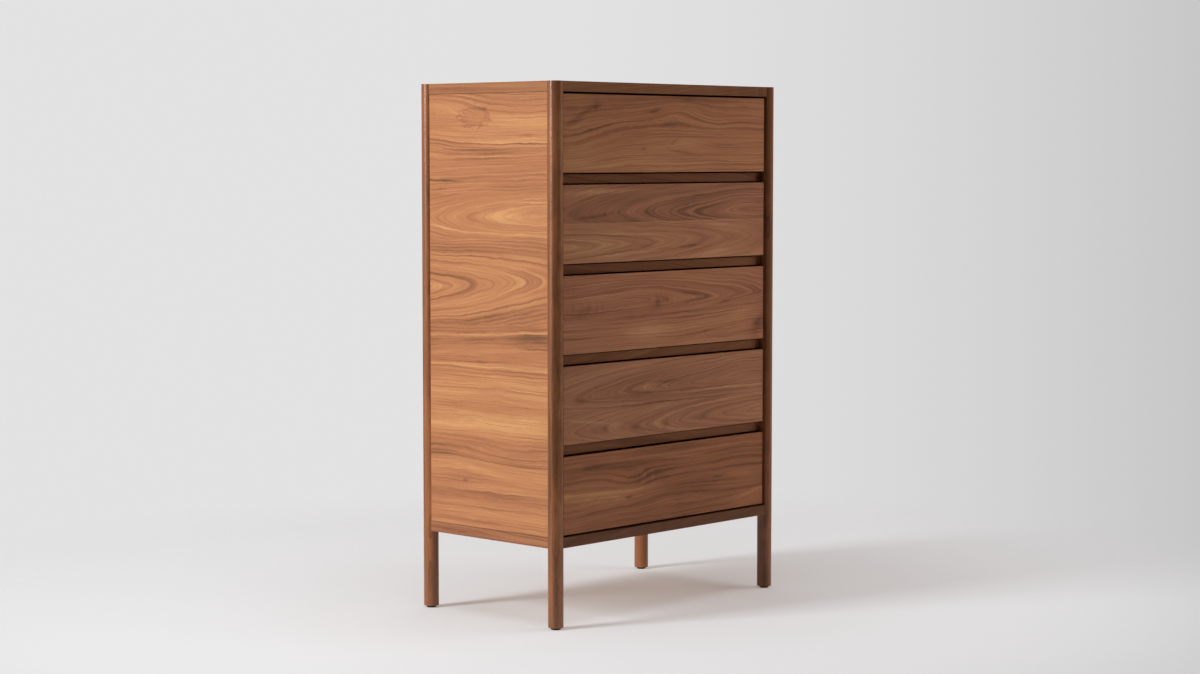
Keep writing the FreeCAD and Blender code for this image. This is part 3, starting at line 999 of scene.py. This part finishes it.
def make_world():
    """A pale backdrop that darkens towards the camera's right, and a low even light."""
    world = bpy.data.worlds.new("studio")
    world.use_nodes = True
    bpy.context.scene.world = world
    tree = world.node_tree
    tree.nodes.clear()
    coordinates = tree.nodes.new("ShaderNodeTexCoord")
    direction = tree.nodes.new("ShaderNodeSeparateXYZ")
    tree.links.new(coordinates.outputs["Generated"], direction.inputs[0])
    x, y = (Field(tree, direction.outputs[index]) for index in (east, north))
    right = x * camera_heading[1] - y * camera_heading[0]
    turned = (right + backdrop_turn).math("MAXIMUM", 0.0)
    level = (turned * turned) * (-backdrop_fall / backdrop_light[0]) + 1.0
    level = level.math("MAXIMUM", backdrop_least)
    ahead = (x * camera_heading[0] + y * camera_heading[1] + room_turn) * room_slope
    room = (ahead.clamped() * (1.0 - room_dimness) + room_dimness) * room_sheen
    path = tree.nodes.new("ShaderNodeLightPath")
    glossy = Field(tree, path.outputs["Is Glossy Ray"])
    shown = coloured(tree, "ShaderNodeBackground", backdrop_light)
    tree.links.new(pick(glossy, level, level * room).socket, shown.inputs["Strength"])
    even = coloured(tree, "ShaderNodeBackground", (1.0, 1.0, 1.0))
    even.inputs["Strength"].default_value = ambient_level
    mix = mixed(tree, seen_by_eye(tree), even, shown)
    output = tree.nodes.new("ShaderNodeOutputWorld")
    tree.links.new(mix.outputs[0], output.inputs["Surface"])


def heading(aim):
    """The turn about the vertical that makes an object look along a direction."""
    return math.atan2(aim[1], aim[0]) - math.pi / 2


def area_light(name, place, target, size, power, colour=(1.0, 1.0, 1.0)):
    """A flat lamp that faces a target."""
    data = bpy.data.lights.new(name, "AREA")
    data.shape = "RECTANGLE"
    data.size, data.size_y = size
    data.energy = power
    data.color = colour
    lamp = bpy.data.objects.new(name, data)
    bpy.context.collection.objects.link(lamp)
    lamp.location = place
    aim = [goal - start for goal, start in zip(target, place)]
    lamp.rotation_euler = (math.atan2(math.hypot(aim[0], aim[1]), -aim[2]), 0.0, heading(aim))
    return lamp


def around(azimuth, distance, height):
    """A place by compass angle from +X, seen from the middle of the chest."""
    angle = math.radians(azimuth)
    return (math.cos(angle) * distance, math.sin(angle) * distance, height)


def make_lights():
    softbox_place = around(softbox_azimuth, softbox_distance, softbox_height)
    area_light("softbox", softbox_place, light_target, softbox_size, softbox_power, softbox_colour)
    card_place = around(card_azimuth, card_distance, card_height)
    card = area_light("card", card_place, light_target, card_size, card_power, card_colour)
    card.visible_glossy = False
    area_light("overhead", overhead_place, overhead_target, overhead_size, overhead_power)


def make_camera():
    data = bpy.data.cameras.new("camera")
    data.lens = lens_mm
    data.sensor_width = sensor_mm
    camera = bpy.data.objects.new("camera", data)
    bpy.context.collection.objects.link(camera)
    camera.location = camera_place
    camera.rotation_euler = (math.pi / 2 - camera_drop, 0.0, heading(camera_heading))
    bpy.context.scene.camera = camera


dress_panels()
dress_boards()
dress_posts()
dress_rails()
dress_fronts()
dress_drawers()
dress_hardware()
make_floor()
make_world()
make_lights()
make_camera()
bpy.context.scene.view_settings.view_transform = "Standard"
